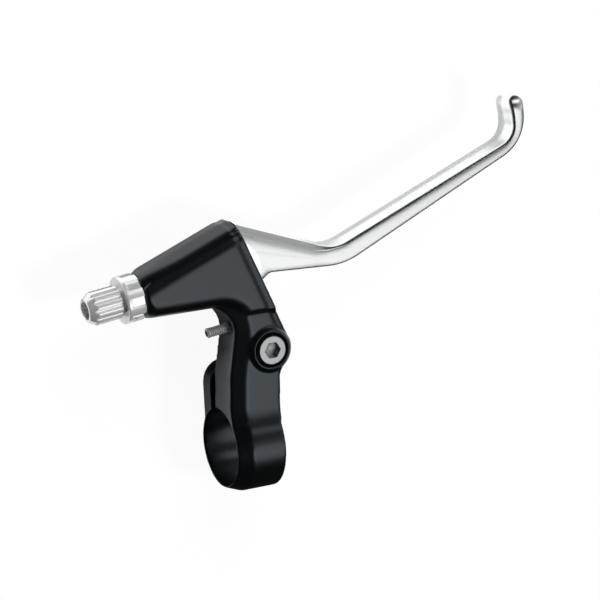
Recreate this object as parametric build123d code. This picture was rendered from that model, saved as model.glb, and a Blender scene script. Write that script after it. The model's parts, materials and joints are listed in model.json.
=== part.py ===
from build123d import *
import math
import os

# Bicycle brake lever for a flat handlebar, in millimetres.
# The origin is the centre of the clamp bore. X runs along the handlebar towards
# its end, Y forwards from the bar to the pivot, and Z along the pivot.

# Clamp
BAR_DIAMETER = 22.2
CLAMP_WIDTH = 14.5
CLAMP_WALL = 2.1
BEVEL_WIDTH = 4.4
BEVEL_DEPTH = 1.7
CLAMP_SLIT = 2.8
JAW_THICKNESS = 5.5
JAW_RADIUS = 6.2
JAW_BOLT_X = -1.0
JAW_BOLT_Y = 17.2
JAW_EDGE = 0.8

# Neck and pivot ears
LEVER_PLANE_Z = 4.15
NECK_THICKNESS = 11.7
NECK_OUTER_X = 8.6
NECK_KINK_X = -6.7
NECK_KINK_Y = 22.3
NECK_RING_FILLET = 4.0
NECK_EAR_FILLET = 5.0
PIVOT_X = 5.45
PIVOT_Y = 28.6
EAR_RADIUS = 6.7
EAR_UNDER_ANGLE = -45.0
BOSS_RADIUS = 6.1
BOSS_HEIGHT = 1.3
BOSS_EDGE = 0.8
COWL_STEP_Y = 39.4
COWL_STEP_SLOPE = 34.0

# Cowl and horn, measured from the pivot along and across the cable line
CABLE_ANGLE = 6.6
CABLE_ARM = 24.0
HORN_REACH = 34.2
HORN_RADIUS = 6.2
HORN_FRONT_ANGLE = 14.8
HORN_BACK_ANGLE = 6.9
HORN_CONE_ANGLE = 30.0
COWL_THICKNESS = 13.5
COWL_FRONT_WALL = 2.2
COWL_EDGE_ROUNDING = 4.5
COWL_FOOT_ALONG = -5.5
COWL_FOOT_ACROSS = 1.5
WEB_CORNER = -6.75
WEB_FILLET = 8.0
WEB_INSET = 0.4
WEB_LENGTH = 12.0
MOUTH_ANGLE = 22.6
MOUTH_RIM_WIDTH = 1.7
MOUTH_RIM_INSET = 0.35
MOUTH_RIM_SLOPE = 22.0
CABLE_PASSAGE = 6.0

# Lever
SLOT_HEIGHT = 6.4
SLOT_CLEARANCE = 0.8
TONGUE_CLEARANCE = 0.6
TONGUE_RADIUS = 6.0
TONGUE_WAIST = 13.0
TONGUE_HEEL = 1.0
HOOK_REACH = 12.0
HOOK_BACK = 19.0
HOOK_FRONT = 30.0
HOOK_ROUNDING = 2.0
BLADE_HEIGHT = 9.9
BLADE_EDGE = 0.9
MOUTH_GAP = 0.4
ROOT_INSET = 1.0
ROOT_WIDTH = 18.7
ROOT_ANGLE = -20.4
ROOT_LENGTH = 31.8
ROOT_CORNER = 1.0
ROOT_OVERLAP = 1.6
HEEL_ANGLE = 35.6
HEEL_LENGTH = 3.0
HEEL_RADIUS = 2.5
RELIEF_RADIUS = 13.5
RELIEF_BULGE = 3.0
RELIEF_BACK = 7.0
RELIEF_SLOPE = 1.6
BEND_THICKNESS = 6.4
BEND_SKEW = -61.0
FRONT_BEND_RADIUS = 12.5
BACK_BEND_RADIUS = 22.0
BLADE_ANGLE = 21.9
BLADE_LENGTH = 64.35
CURL_THICKNESS = 4.8
CURL_SKEW = -24.9
FRONT_CURL_RADIUS = 5.5
BACK_CURL_RADIUS = 12.5
TIP_ANGLE = 94.0
TIP_LENGTH = 11.8
TIP_THICKNESS = 4.9
TIP_CORNER = 2.3
NIPPLE_DIAMETER = 7.4
NIPPLE_ALONG = -6.0
CABLE_SLOT = 2.2

# Pivot hardware
PIVOT_DIAMETER = 6.0
RUNNING_CLEARANCE = 0.05
BUSH_WALL = 1.0
BUSH_FLANGE = 0.5
BUSH_FLANGE_RADIUS = 5.6
BUSH_GAP = 0.4
PIVOT_HEAD_DIAMETER = 8.1
PIVOT_HEAD_HEIGHT = 2.6
PIVOT_HEAD_STAND = 0.2
PIVOT_HEAD_EDGE = 0.3
PIVOT_HEAD_CLEARANCE = 0.8
PIVOT_SOCKET = 4.0
PIVOT_SOCKET_DEPTH = 2.0
PIVOT_THREAD = 5.0
PIVOT_WASHER_DIAMETER = 10.0
PIVOT_WASHER_THICKNESS = 1.0
PIVOT_NUT_FLATS = 8.0
PIVOT_NUT_HEIGHT = 3.6
PIVOT_COLLAR_DIAMETER = 7.0
PIVOT_COLLAR_HEIGHT = 1.4
PIVOT_BOLT_STAND = 0.8

# Cable adjuster
ADJUSTER_THREAD = 8.0
ADJUSTER_STEM = 16.0
ADJUSTER_HEAD_DIAMETER = 9.5
ADJUSTER_HEAD_LENGTH = 9.6
ADJUSTER_NOSE_DIAMETER = 6.6
ADJUSTER_NOSE_LENGTH = 2.2
ADJUSTER_NECK = 0.7
ADJUSTER_FLUTES = 12
FLUTE_RADIUS = 0.75
FLUTE_DEPTH = 0.4
HOUSING_BORE = 5.1
HOUSING_DEPTH = 10.0
CABLE_BORE = 2.6
LOCK_RING_DIAMETER = 13.4
LOCK_RING_WIDTH = 5.2
LOCK_RING_EDGE = 0.4
LOCK_RING_SEAT = 0.2
NOTCHES = 8
NOTCH_WIDTH = 2.6
NOTCH_DEPTH = 0.7
NOTCH_FLANGE = 1.2

# Reach screw and clamp bolt
REACH_ARM = 7.9
REACH_THREAD = 3.0
REACH_LENGTH = 9.7
REACH_TIP_GAP = 0.1
REACH_SOCKET = 1.5
REACH_SOCKET_DEPTH = 1.6
REACH_EDGE = 0.3
CLAMP_THREAD = 5.0
CLAMP_THREAD_DEPTH = 8.0
CLAMP_THREAD_SPARE = 0.5
CLAMP_BOLT_CLEARANCE = 0.25
CLAMP_HEAD_DIAMETER = 8.5
CLAMP_HEAD_HEIGHT = 4.0
CLAMP_HEAD_EDGE = 0.4
CLAMP_WASHER_DIAMETER = 9.0
CLAMP_WASHER_THICKNESS = 0.9
CLAMP_COUNTERBORE_CLEARANCE = 0.2
CLAMP_COUNTERBORE_DEPTH = 2.6
CLAMP_SOCKET = 4.0
CLAMP_SOCKET_DEPTH = 2.4

# Worked out from the sizes above
BORE_RADIUS = BAR_DIAMETER / 2
RING_RADIUS = BORE_RADIUS + CLAMP_WALL
CLAMP_HALF = CLAMP_WIDTH / 2
NECK_TOP = LEVER_PLANE_Z + NECK_THICKNESS / 2
NECK_BOTTOM = LEVER_PLANE_Z - NECK_THICKNESS / 2
JAW_TOP = NECK_BOTTOM - CLAMP_SLIT
JAW_BOTTOM = JAW_TOP - JAW_THICKNESS
BOSS_TOP = NECK_TOP + BOSS_HEIGHT
HEAD_SEAT = BOSS_TOP + PIVOT_HEAD_STAND - PIVOT_HEAD_HEIGHT
PIVOT_BORE = PIVOT_DIAMETER / 2 + RUNNING_CLEARANCE
BUSH_RADIUS = PIVOT_BORE + BUSH_WALL
TONGUE_THICKNESS = SLOT_HEIGHT - 2 * TONGUE_CLEARANCE
HORN_END = -HORN_REACH
LOCK_RING_INNER = HORN_END - LOCK_RING_SEAT
LOCK_RING_OUTER = LOCK_RING_INNER - LOCK_RING_WIDTH
HEAD_INNER = LOCK_RING_OUTER - ADJUSTER_NECK
HEAD_OUTER = HEAD_INNER - ADJUSTER_HEAD_LENGTH
STEM_END = HEAD_INNER + ADJUSTER_STEM
REACH_TIP = -TONGUE_RADIUS - REACH_TIP_GAP
REACH_END = REACH_TIP - REACH_LENGTH
COUNTERBORE_FLOOR = JAW_BOTTOM + CLAMP_COUNTERBORE_DEPTH
CLAMP_HEAD_TOP = COUNTERBORE_FLOOR - CLAMP_WASHER_THICKNESS
FAR = 200.0

# The cable frame has its origin at the pivot, X along the cable line towards the
# blade, Y across it to the front, and Z up.
CABLE_FRAME = Plane(
    origin=(PIVOT_X, PIVOT_Y, LEVER_PLANE_Z),
    x_dir=(math.cos(math.radians(CABLE_ANGLE)), math.sin(math.radians(CABLE_ANGLE)), 0),
    z_dir=(0, 0, 1),
)


def polar(length, angle):
    """Plan vector of a length at an angle from the X axis."""
    return Vector(length, 0, 0).rotate(Axis.Z, angle)


def in_cable_frame(along, across, height=0.0):
    """Point of the cable frame, in the part's own frame."""
    return CABLE_FRAME.from_local_coords(Vector(along, across, height))


def across_cable(along, across=0.0, height=0.0):
    """Plane square to the cable line, with its X across the line and its Y up."""
    return Plane(
        origin=in_cable_frame(along, across, height),
        x_dir=CABLE_FRAME.y_dir,
        z_dir=CABLE_FRAME.x_dir,
    )


def crossing(start, direction, other_start, other_direction):
    """Plan point where two lines cross."""
    gap = other_start - start
    reach = gap.cross(other_direction).Z / direction.cross(other_direction).Z
    return start + direction * reach


def plan_face(points, radii):
    """Plan face with straight sides, and a radius at each of its points."""
    flat = [(point.X, point.Y) for point in points]
    return make_face(FilletPolyline(*flat, radius=radii, close=True))


def plan_solid(outline, bottom, top):
    """Solid from a plan outline, between two heights."""
    return extrude(Pos(0, 0, bottom) * outline, amount=top - bottom)


def rod(plane, radius, start, end):
    """Cylinder along a plane's normal, between two distances from its origin."""
    return extrude(plane.offset(start) * Circle(radius), amount=end - start)


def hexagon(plane, flats, start, end):
    """Hexagonal prism along a plane's normal, by its width across flats."""
    outline = RegularPolygon(flats / 2, 6, major_radius=False)
    return extrude(plane.offset(start) * outline, amount=end - start)


PIVOT = Vector(PIVOT_X, PIVOT_Y, 0)
PIVOT_AXIS = Plane(origin=PIVOT)
JAW_AXIS = Plane(origin=(JAW_BOLT_X, JAW_BOLT_Y, 0))
CABLE_AXIS = across_cable(0, CABLE_ARM)
REACH_AXIS = across_cable(0, REACH_ARM)

# The mouth of the cowl is one flat cut, tangent to the ear around the pivot.
MOUTH_NORMAL = polar(1, MOUTH_ANGLE)
MOUTH_ALONG = polar(1, MOUTH_ANGLE - 90)
MOUTH_FOOT = PIVOT + MOUTH_NORMAL * EAR_RADIUS
COWL_CORNER = crossing(
    MOUTH_FOOT,
    MOUTH_ALONG,
    in_cable_frame(HORN_END, CABLE_ARM + HORN_RADIUS),
    polar(1, CABLE_ANGLE + HORN_FRONT_ANGLE),
)
FRONT_ROOT = COWL_CORNER + MOUTH_ALONG * ROOT_INSET + MOUTH_NORMAL * MOUTH_GAP
BACK_ROOT = FRONT_ROOT + MOUTH_ALONG * ROOT_WIDTH


def outside_mouth(offset):
    """Large block on the outer side of the mouth, moved out by an offset."""
    plane = Plane(
        origin=MOUTH_FOOT + MOUTH_NORMAL * offset, x_dir=MOUTH_ALONG, z_dir=MOUTH_NORMAL
    )
    return extrude(plane * Rectangle(FAR, FAR), amount=FAR)


def horn_front(along):
    """Distance of the cowl's front wall from the cable line."""
    return HORN_RADIUS + (along + HORN_REACH) * math.tan(math.radians(HORN_FRONT_ANGLE))


def horn_back(along):
    """Distance of the horn's back wall from the cable line."""
    return HORN_RADIUS + (along + HORN_REACH) * math.tan(math.radians(HORN_BACK_ANGLE))


def cowl_plate(inset):
    """Plate of the cowl, the horn and the web with rounded long edges, drawn in by an inset."""
    far = 2 * EAR_RADIUS
    points = [
        in_cable_frame(HORN_END, CABLE_ARM + HORN_RADIUS - inset),
        in_cable_frame(HORN_END, CABLE_ARM - HORN_RADIUS + inset),
        in_cable_frame(WEB_CORNER, CABLE_ARM - horn_back(WEB_CORNER) + inset),
        in_cable_frame(COWL_FOOT_ALONG, COWL_FOOT_ACROSS),
        in_cable_frame(far, 0),
        in_cable_frame(far, CABLE_ARM + horn_front(far) - inset),
    ]
    radii = [0, 0, WEB_FILLET, 0, 0, 0]
    bottom = LEVER_PLANE_Z - COWL_THICKNESS / 2 + inset
    top = LEVER_PLANE_Z + COWL_THICKNESS / 2 - inset
    plate = plan_solid(plan_face(points, radii), bottom, top)
    rims = plate.faces().filter_by(Axis.Z).edges()
    middle = in_cable_frame(HORN_END / 2, 0)
    long_rims = rims.filter_by(
        lambda edge: abs((edge.center() - middle).dot(CABLE_FRAME.x_dir)) < 0.45 * HORN_REACH
    )
    return fillet(long_rims, COWL_EDGE_ROUNDING - inset)


def below_step():
    """Room above and under the ears, up to the sloped step at the foot of the cowl."""
    rise = COWL_THICKNESS - NECK_THICKNESS
    run = rise / math.tan(math.radians(COWL_STEP_SLOPE))
    rooms = []
    for side in (1, -1):
        low = LEVER_PLANE_Z + side * NECK_THICKNESS / 2
        high = low + side * rise
        section = Polygon(
            (0, low), (COWL_STEP_Y, low), (COWL_STEP_Y + run, high), (0, high), align=None
        )
        rooms.append(extrude(Plane.YZ * section, amount=FAR, both=True))
    return rooms


def make_cowl():
    """Cowl and horn, turned round at the horn's end, with a lower band around the mouth."""
    shell = cowl_plate(0.0) - outside_mouth(-MOUTH_RIM_WIDTH)
    shell_end = shell.faces().sort_by(Axis(MOUTH_FOOT, MOUTH_NORMAL))[-1]
    # The slope runs on under the band, so that the two meet in one edge.
    depth = 1.4 * MOUTH_RIM_INSET
    run = depth / math.tan(math.radians(MOUTH_RIM_SLOPE))
    shell = chamfer(shell_end.edges(), depth, run, reference=shell_end)
    rim = cowl_plate(MOUTH_RIM_INSET) - outside_mouth(0.0)
    length = FAR / 2
    wide_end = HORN_RADIUS + length * math.tan(math.radians(HORN_CONE_ANGLE))
    from_horn_end = (Align.CENTER, Align.CENTER, Align.MIN)
    cone = CABLE_AXIS.offset(HORN_END) * Cone(HORN_RADIUS, wide_end, length, align=from_horn_end)
    return (shell + rim - below_step()) & cone


def make_ring():
    """Bar ring with its bevelled inboard edge, faired into the top of the neck."""
    stub = Rectangle(RING_RADIUS, NECK_THICKNESS, align=(Align.MIN, Align.CENTER))
    profile = Circle(RING_RADIUS) + Pos(0, LEVER_PLANE_Z) * stub
    corner = profile.vertices().group_by(Axis.Y)[-1].sort_by(Axis.X)[0]
    profile = fillet(corner, NECK_RING_FILLET)
    ring = extrude(Plane.YZ.offset(-CLAMP_HALF) * profile, amount=CLAMP_WIDTH)
    inboard = ring.faces().sort_by(Axis.X)[0]
    outer = inboard.edges().filter_by(lambda edge: edge.center().Y < RING_RADIUS / 2)
    return chamfer(outer, BEVEL_DEPTH, BEVEL_WIDTH, reference=inboard)


def ear_bands():
    """Room along the mouth's edge that leaves a lower band on the faces of the ears."""
    run = MOUTH_RIM_INSET / math.tan(math.radians(MOUTH_RIM_SLOPE))
    start = Plane(
        origin=MOUTH_FOOT - MOUTH_ALONG * CABLE_ARM, x_dir=MOUTH_NORMAL, z_dir=MOUTH_ALONG
    )
    up_to_step = (Align.CENTER, Align.MAX, Align.CENTER)
    ears = Pos(0, COWL_STEP_Y) * Box(FAR, FAR, FAR, align=up_to_step)
    rooms = []
    for side in (1, -1):
        face = LEVER_PLANE_Z + side * NECK_THICKNESS / 2
        band = face - side * MOUTH_RIM_INSET
        outer = face + side * MOUTH_RIM_INSET
        section = Polygon(
            (-MOUTH_RIM_WIDTH - run, face),
            (-MOUTH_RIM_WIDTH, band),
            (MOUTH_RIM_WIDTH, band),
            (MOUTH_RIM_WIDTH, outer),
            (-MOUTH_RIM_WIDTH - run, outer),
            align=None,
        )
        rooms.append(extrude(start * section, amount=CABLE_ARM) & ears)
    return rooms


def make_neck():
    """Plate of the neck, the ear and the web of the horn, bevelled on its inboard side."""
    outer_line = Vector(NECK_OUTER_X - CLAMP_HALF, PIVOT_Y)
    ear_tangent = PIVOT + polar(EAR_RADIUS, EAR_UNDER_ANGLE)
    ear_line = polar(1, EAR_UNDER_ANGLE + 90)
    web_start = WEB_CORNER - WEB_LENGTH
    web_back = in_cable_frame(web_start, CABLE_ARM - horn_back(web_start) + WEB_INSET)
    points = [
        Vector(-CLAMP_HALF, 0),
        Vector(CLAMP_HALF, 0),
        crossing(Vector(CLAMP_HALF, 0), outer_line, ear_tangent, ear_line),
        crossing(ear_tangent, ear_line, MOUTH_FOOT, MOUTH_ALONG),
        MOUTH_FOOT - MOUTH_ALONG * CABLE_ARM,
        in_cable_frame(web_start, CABLE_ARM),
        web_back,
        in_cable_frame(WEB_CORNER, CABLE_ARM - horn_back(WEB_CORNER) + WEB_INSET),
        Vector(NECK_KINK_X, NECK_KINK_Y),
        Vector(-CLAMP_HALF, RING_RADIUS),
    ]
    radii = [0, 0, NECK_EAR_FILLET, EAR_RADIUS, 0, 0, 0, WEB_FILLET, 0, 0]
    plate = plan_solid(plan_face(points, radii), NECK_BOTTOM, NECK_TOP)
    top = plate.faces().sort_by(Axis.Z)[-1]
    inboard = top.edges().filter_by(
        lambda edge: edge.center().X < NECK_KINK_X / 2
        and edge.center().Y < web_back.Y + WEB_INSET
    )
    return chamfer(inboard, BEVEL_WIDTH, BEVEL_DEPTH, reference=top)


def make_jaw():
    """Lower jaw of the clamp, with a round lobe for the clamp bolt."""
    root = Rectangle(CLAMP_WIDTH, BORE_RADIUS, align=(Align.CENTER, Align.MIN))
    lobe = Pos(JAW_BOLT_X, JAW_BOLT_Y) * Circle(JAW_RADIUS)
    outline = make_hull(root.edges() + lobe.edges())
    jaw = plan_solid(outline, JAW_BOTTOM, JAW_TOP)
    return chamfer(jaw.faces().sort_by(Axis.Z)[0].edges(), JAW_EDGE)


def make_boss():
    """Raised round boss on the ear, around the pivot bolt's head."""
    boss = rod(PIVOT_AXIS, BOSS_RADIUS, LEVER_PLANE_Z + SLOT_HEIGHT / 2, BOSS_TOP)
    return chamfer(boss.edges().sort_by(Axis.Z)[-1], BOSS_EDGE)


def make_slot():
    """Hollow of the cowl and the slot between the ears, where the lever's root turns."""
    wall = TONGUE_RADIUS + SLOT_CLEARANCE
    hook_wall = HOOK_REACH + SLOT_CLEARANCE
    front_wall = COWL_FRONT_WALL / math.cos(math.radians(HORN_FRONT_ANGLE))
    outside = 2 * EAR_RADIUS
    points = [
        in_cable_frame(-wall, -wall),
        in_cable_frame(outside, -wall),
        in_cable_frame(outside, CABLE_ARM + horn_front(outside) - front_wall),
        in_cable_frame(-hook_wall, CABLE_ARM + horn_front(-hook_wall) - front_wall),
        in_cable_frame(-hook_wall, HOOK_BACK - SLOT_CLEARANCE),
        in_cable_frame(-wall, TONGUE_WAIST - SLOT_CLEARANCE),
    ]
    radii = [wall, 0, 0, HOOK_ROUNDING, HOOK_ROUNDING, HOOK_ROUNDING]
    bottom = LEVER_PLANE_Z - SLOT_HEIGHT / 2
    return plan_solid(plan_face(points, radii), bottom, bottom + SLOT_HEIGHT)


def make_bracket():
    """One casting: hooked bar clamp, neck, pivot ears, hollow cowl and horn."""
    casting = make_ring() + make_neck() + make_cowl() - ear_bands()
    casting = casting + make_boss() + make_jaw()
    slit_start = BORE_RADIUS / 2
    slit_end = JAW_BOLT_Y + 2 * JAW_RADIUS
    slit_place = Pos(0, (slit_start + slit_end) / 2, NECK_BOTTOM - CLAMP_SLIT / 2)
    head_bore = PIVOT_HEAD_DIAMETER / 2 + PIVOT_HEAD_CLEARANCE
    stem_bore_end = STEM_END + SLOT_CLEARANCE
    jaw_hole = CLAMP_THREAD / 2 + CLAMP_BOLT_CLEARANCE
    clamp_counterbore = CLAMP_WASHER_DIAMETER / 2 + CLAMP_COUNTERBORE_CLEARANCE
    cuts = [
        rod(Plane.YZ, BORE_RADIUS, -CLAMP_WIDTH, CLAMP_WIDTH),
        slit_place * Box(2 * CLAMP_WIDTH, slit_end - slit_start, CLAMP_SLIT),
        make_slot(),
        rod(PIVOT_AXIS, PIVOT_BORE, JAW_TOP, BOSS_TOP),
        rod(PIVOT_AXIS, head_bore, HEAD_SEAT, BOSS_TOP + BOSS_HEIGHT),
        rod(CABLE_AXIS, ADJUSTER_THREAD / 2, HORN_END - LOCK_RING_SEAT, stem_bore_end),
        rod(CABLE_AXIS, CABLE_PASSAGE / 2, HORN_END, -HOOK_REACH),
        rod(REACH_AXIS, REACH_THREAD / 2, REACH_END, -TONGUE_RADIUS),
        rod(JAW_AXIS, CLAMP_THREAD / 2, JAW_TOP, NECK_BOTTOM + CLAMP_THREAD_DEPTH),
        rod(JAW_AXIS, jaw_hole, JAW_BOTTOM, JAW_TOP),
        rod(JAW_AXIS, clamp_counterbore, JAW_BOTTOM - JAW_THICKNESS, COUNTERBORE_FLOOR),
    ]
    return casting - cuts


def make_blade():
    """Finger blade, from the mouth of the cowl to the curled tip."""
    front_bend = FRONT_ROOT + polar(ROOT_LENGTH, ROOT_ANGLE)
    front_curl = front_bend + polar(BLADE_LENGTH, BLADE_ANGLE)
    tip_front = front_curl + polar(TIP_LENGTH, TIP_ANGLE)
    points = [
        FRONT_ROOT,
        front_bend,
        front_curl,
        tip_front,
        tip_front + polar(TIP_THICKNESS, TIP_ANGLE - 90),
        front_curl + polar(CURL_THICKNESS, CURL_SKEW),
        front_bend + polar(BEND_THICKNESS, BEND_SKEW),
        BACK_ROOT + polar(HEEL_LENGTH, HEEL_ANGLE),
        BACK_ROOT,
    ]
    radii = [
        ROOT_CORNER,
        FRONT_BEND_RADIUS,
        FRONT_CURL_RADIUS,
        TIP_CORNER,
        TIP_CORNER,
        BACK_CURL_RADIUS,
        BACK_BEND_RADIUS,
        HEEL_RADIUS,
        ROOT_CORNER,
    ]
    bottom = LEVER_PLANE_Z - BLADE_HEIGHT / 2
    blade = plan_solid(plan_face(points, radii), bottom, bottom + BLADE_HEIGHT)
    rims = blade.faces().filter_by(Axis.Z).edges()
    return chamfer(rims, BLADE_EDGE)


def make_relief():
    """Cones that scoop the blade's root down to the tongue, above and below."""
    height = (BLADE_HEIGHT - TONGUE_THICKNESS) / 2
    inner_radius = RELIEF_RADIUS - RELIEF_SLOPE * height
    setback = RELIEF_BULGE - MOUTH_GAP - RELIEF_RADIUS
    centre = BACK_ROOT - MOUTH_ALONG * RELIEF_BACK + MOUTH_NORMAL * setback
    offset = (BLADE_HEIGHT + TONGUE_THICKNESS) / 4
    upper = Pos(centre.X, centre.Y, LEVER_PLANE_Z + offset)
    lower = Pos(centre.X, centre.Y, LEVER_PLANE_Z - offset)
    return [
        upper * Cone(inner_radius, RELIEF_RADIUS, height),
        lower * Cone(RELIEF_RADIUS, inner_radius, height),
    ]


def make_tongue():
    """Flat root of the lever inside the cowl: pivot eye, arm and cable hook."""
    edge_line = PIVOT + MOUTH_NORMAL * TONGUE_RADIUS
    set_in = MOUTH_GAP + EAR_RADIUS - TONGUE_RADIUS
    heel = BACK_ROOT - MOUTH_ALONG * TONGUE_HEEL
    nose = COWL_CORNER + MOUTH_ALONG * (COWL_FRONT_WALL + SLOT_CLEARANCE)
    points = [
        in_cable_frame(-TONGUE_RADIUS, -TONGUE_RADIUS),
        crossing(edge_line, MOUTH_ALONG, in_cable_frame(0, -TONGUE_RADIUS), CABLE_FRAME.x_dir),
        heel - MOUTH_NORMAL * set_in,
        heel + MOUTH_NORMAL * ROOT_OVERLAP,
        nose + MOUTH_NORMAL * ROOT_OVERLAP,
        nose - MOUTH_NORMAL * HOOK_ROUNDING,
        in_cable_frame(-HOOK_REACH, HOOK_FRONT),
        in_cable_frame(-HOOK_REACH, HOOK_BACK),
        in_cable_frame(-TONGUE_RADIUS, TONGUE_WAIST),
    ]
    eye = TONGUE_RADIUS
    hook = HOOK_ROUNDING
    radii = [eye, eye, 0, 0, 0, hook / 2, hook, hook, hook]
    bottom = LEVER_PLANE_Z - TONGUE_THICKNESS / 2
    return plan_solid(plan_face(points, radii), bottom, bottom + TONGUE_THICKNESS)


def make_lever():
    """Forged lever: blade and tongue in one, bored for its bushes and the cable nipple."""
    lever = make_blade() - make_relief() + make_tongue()
    seat_axis = Plane(origin=in_cable_frame(NIPPLE_ALONG, CABLE_ARM))
    slot_length = HOOK_REACH + NIPPLE_ALONG + SLOT_CLEARANCE
    slot = across_cable(NIPPLE_ALONG - slot_length, CABLE_ARM) * Rectangle(CABLE_SLOT, BLADE_HEIGHT)
    cuts = [
        rod(PIVOT_AXIS, BUSH_RADIUS, NECK_BOTTOM, NECK_TOP),
        rod(seat_axis, NIPPLE_DIAMETER / 2, -BLADE_HEIGHT, BLADE_HEIGHT),
        extrude(slot, amount=slot_length),
    ]
    return lever - cuts


def make_bush(side):
    """Flanged nylon bush in the lever's pivot eye; side is 1 above and -1 below."""
    face = TONGUE_THICKNESS / 2
    plane = Plane(origin=PIVOT + Vector(0, 0, LEVER_PLANE_Z), z_dir=(0, 0, side))
    sleeve = rod(plane, BUSH_RADIUS, BUSH_GAP / 2, face)
    flange = rod(plane, BUSH_FLANGE_RADIUS, face, face + BUSH_FLANGE)
    return sleeve + flange - rod(plane, PIVOT_BORE, 0, face + 2 * BUSH_FLANGE)


def make_pivot_bolt():
    """Shouldered bolt on which the lever turns, with a socket head in the boss."""
    head_top = HEAD_SEAT + PIVOT_HEAD_HEIGHT
    washer_face = NECK_BOTTOM - PIVOT_WASHER_THICKNESS
    thread_end = washer_face - PIVOT_NUT_HEIGHT - PIVOT_COLLAR_HEIGHT - PIVOT_BOLT_STAND
    head = rod(PIVOT_AXIS, PIVOT_HEAD_DIAMETER / 2, HEAD_SEAT, head_top)
    head = chamfer(head.edges().sort_by(Axis.Z)[-1], PIVOT_HEAD_EDGE)
    shoulder = rod(PIVOT_AXIS, PIVOT_DIAMETER / 2, NECK_BOTTOM, HEAD_SEAT)
    thread = rod(PIVOT_AXIS, PIVOT_THREAD / 2 - RUNNING_CLEARANCE, thread_end, NECK_BOTTOM)
    socket = hexagon(PIVOT_AXIS, PIVOT_SOCKET, head_top - PIVOT_SOCKET_DEPTH, head_top)
    return head + shoulder + thread - socket


def make_pivot_washer():
    """Plain washer under the lower ear."""
    face = NECK_BOTTOM - PIVOT_WASHER_THICKNESS
    washer = rod(PIVOT_AXIS, PIVOT_WASHER_DIAMETER / 2, face, NECK_BOTTOM)
    return washer - rod(PIVOT_AXIS, PIVOT_THREAD / 2, face, NECK_BOTTOM)


def make_pivot_nut():
    """Hexagon nut with a locking collar, on the end of the pivot bolt."""
    seat = NECK_BOTTOM - PIVOT_WASHER_THICKNESS
    hex_end = seat - PIVOT_NUT_HEIGHT
    collar_end = hex_end - PIVOT_COLLAR_HEIGHT
    nut = hexagon(PIVOT_AXIS, PIVOT_NUT_FLATS, hex_end, seat)
    collar = rod(PIVOT_AXIS, PIVOT_COLLAR_DIAMETER / 2, collar_end, hex_end)
    return nut + collar - rod(PIVOT_AXIS, PIVOT_THREAD / 2, collar_end, seat)


def make_adjuster():
    """Hollow cable adjuster: threaded stem, fluted head and conical nose."""
    along_axis = Plane(origin=CABLE_AXIS.origin, x_dir=CABLE_FRAME.x_dir, z_dir=(0, 0, 1))
    head_radius = ADJUSTER_HEAD_DIAMETER / 2
    stem_radius = ADJUSTER_THREAD / 2 - RUNNING_CLEARANCE
    nose_root = HEAD_OUTER + ADJUSTER_NOSE_LENGTH
    profile = Polyline(
        (HEAD_OUTER, 0),
        (HEAD_OUTER, ADJUSTER_NOSE_DIAMETER / 2),
        (nose_root, head_radius),
        (HEAD_INNER, head_radius),
        (HEAD_INNER, stem_radius),
        (STEM_END, stem_radius),
        (STEM_END, 0),
        close=True,
    )
    body = revolve(along_axis * make_face(profile), Axis(CABLE_AXIS.origin, CABLE_AXIS.z_dir))
    flute_ring = head_radius + FLUTE_RADIUS - FLUTE_DEPTH
    flute = extrude(Circle(FLUTE_RADIUS), amount=ADJUSTER_HEAD_LENGTH)
    flute_start = CABLE_AXIS.offset(HEAD_OUTER)
    flutes = [flute_start * place * flute for place in PolarLocations(flute_ring, ADJUSTER_FLUTES)]
    housing = rod(CABLE_AXIS, HOUSING_BORE / 2, HEAD_OUTER, HEAD_OUTER + HOUSING_DEPTH)
    cable = rod(CABLE_AXIS, CABLE_BORE / 2, HEAD_OUTER, STEM_END)
    return body - flutes - housing - cable


def make_lock_ring():
    """Lock ring on the adjuster, with finger notches that a flange closes."""
    radius = LOCK_RING_DIAMETER / 2
    ring = rod(CABLE_AXIS, radius, LOCK_RING_OUTER, LOCK_RING_INNER)
    ring = chamfer(ring.edges().filter_by(GeomType.CIRCLE), LOCK_RING_EDGE)
    ring = ring - rod(CABLE_AXIS, ADJUSTER_THREAD / 2, LOCK_RING_OUTER, LOCK_RING_INNER)
    notch_place = CABLE_AXIS.offset(LOCK_RING_OUTER + NOTCH_FLANGE)
    floor_up = (Align.CENTER, Align.CENTER, Align.MIN)
    notch = Box(2 * NOTCH_DEPTH, NOTCH_WIDTH, LOCK_RING_WIDTH, align=floor_up)
    return ring - [notch_place * place * notch for place in PolarLocations(radius, NOTCHES)]


def make_reach_screw():
    """Headless socket screw whose tip stops the lever."""
    radius = REACH_THREAD / 2 - RUNNING_CLEARANCE
    screw = rod(REACH_AXIS, radius, REACH_END, REACH_TIP)
    screw = chamfer(screw.edges().filter_by(GeomType.CIRCLE), REACH_EDGE)
    return screw - hexagon(REACH_AXIS, REACH_SOCKET, REACH_END, REACH_END + REACH_SOCKET_DEPTH)


def make_clamp_bolt():
    """Socket-head bolt that draws the jaw to the neck."""
    head_end = CLAMP_HEAD_TOP - CLAMP_HEAD_HEIGHT
    shank_end = NECK_BOTTOM + CLAMP_THREAD_DEPTH - CLAMP_THREAD_SPARE
    head = rod(JAW_AXIS, CLAMP_HEAD_DIAMETER / 2, head_end, CLAMP_HEAD_TOP)
    head = chamfer(head.edges().sort_by(Axis.Z)[0], CLAMP_HEAD_EDGE)
    shank = rod(JAW_AXIS, CLAMP_THREAD / 2 - RUNNING_CLEARANCE, CLAMP_HEAD_TOP, shank_end)
    return head + shank - hexagon(JAW_AXIS, CLAMP_SOCKET, head_end, head_end + CLAMP_SOCKET_DEPTH)


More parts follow.
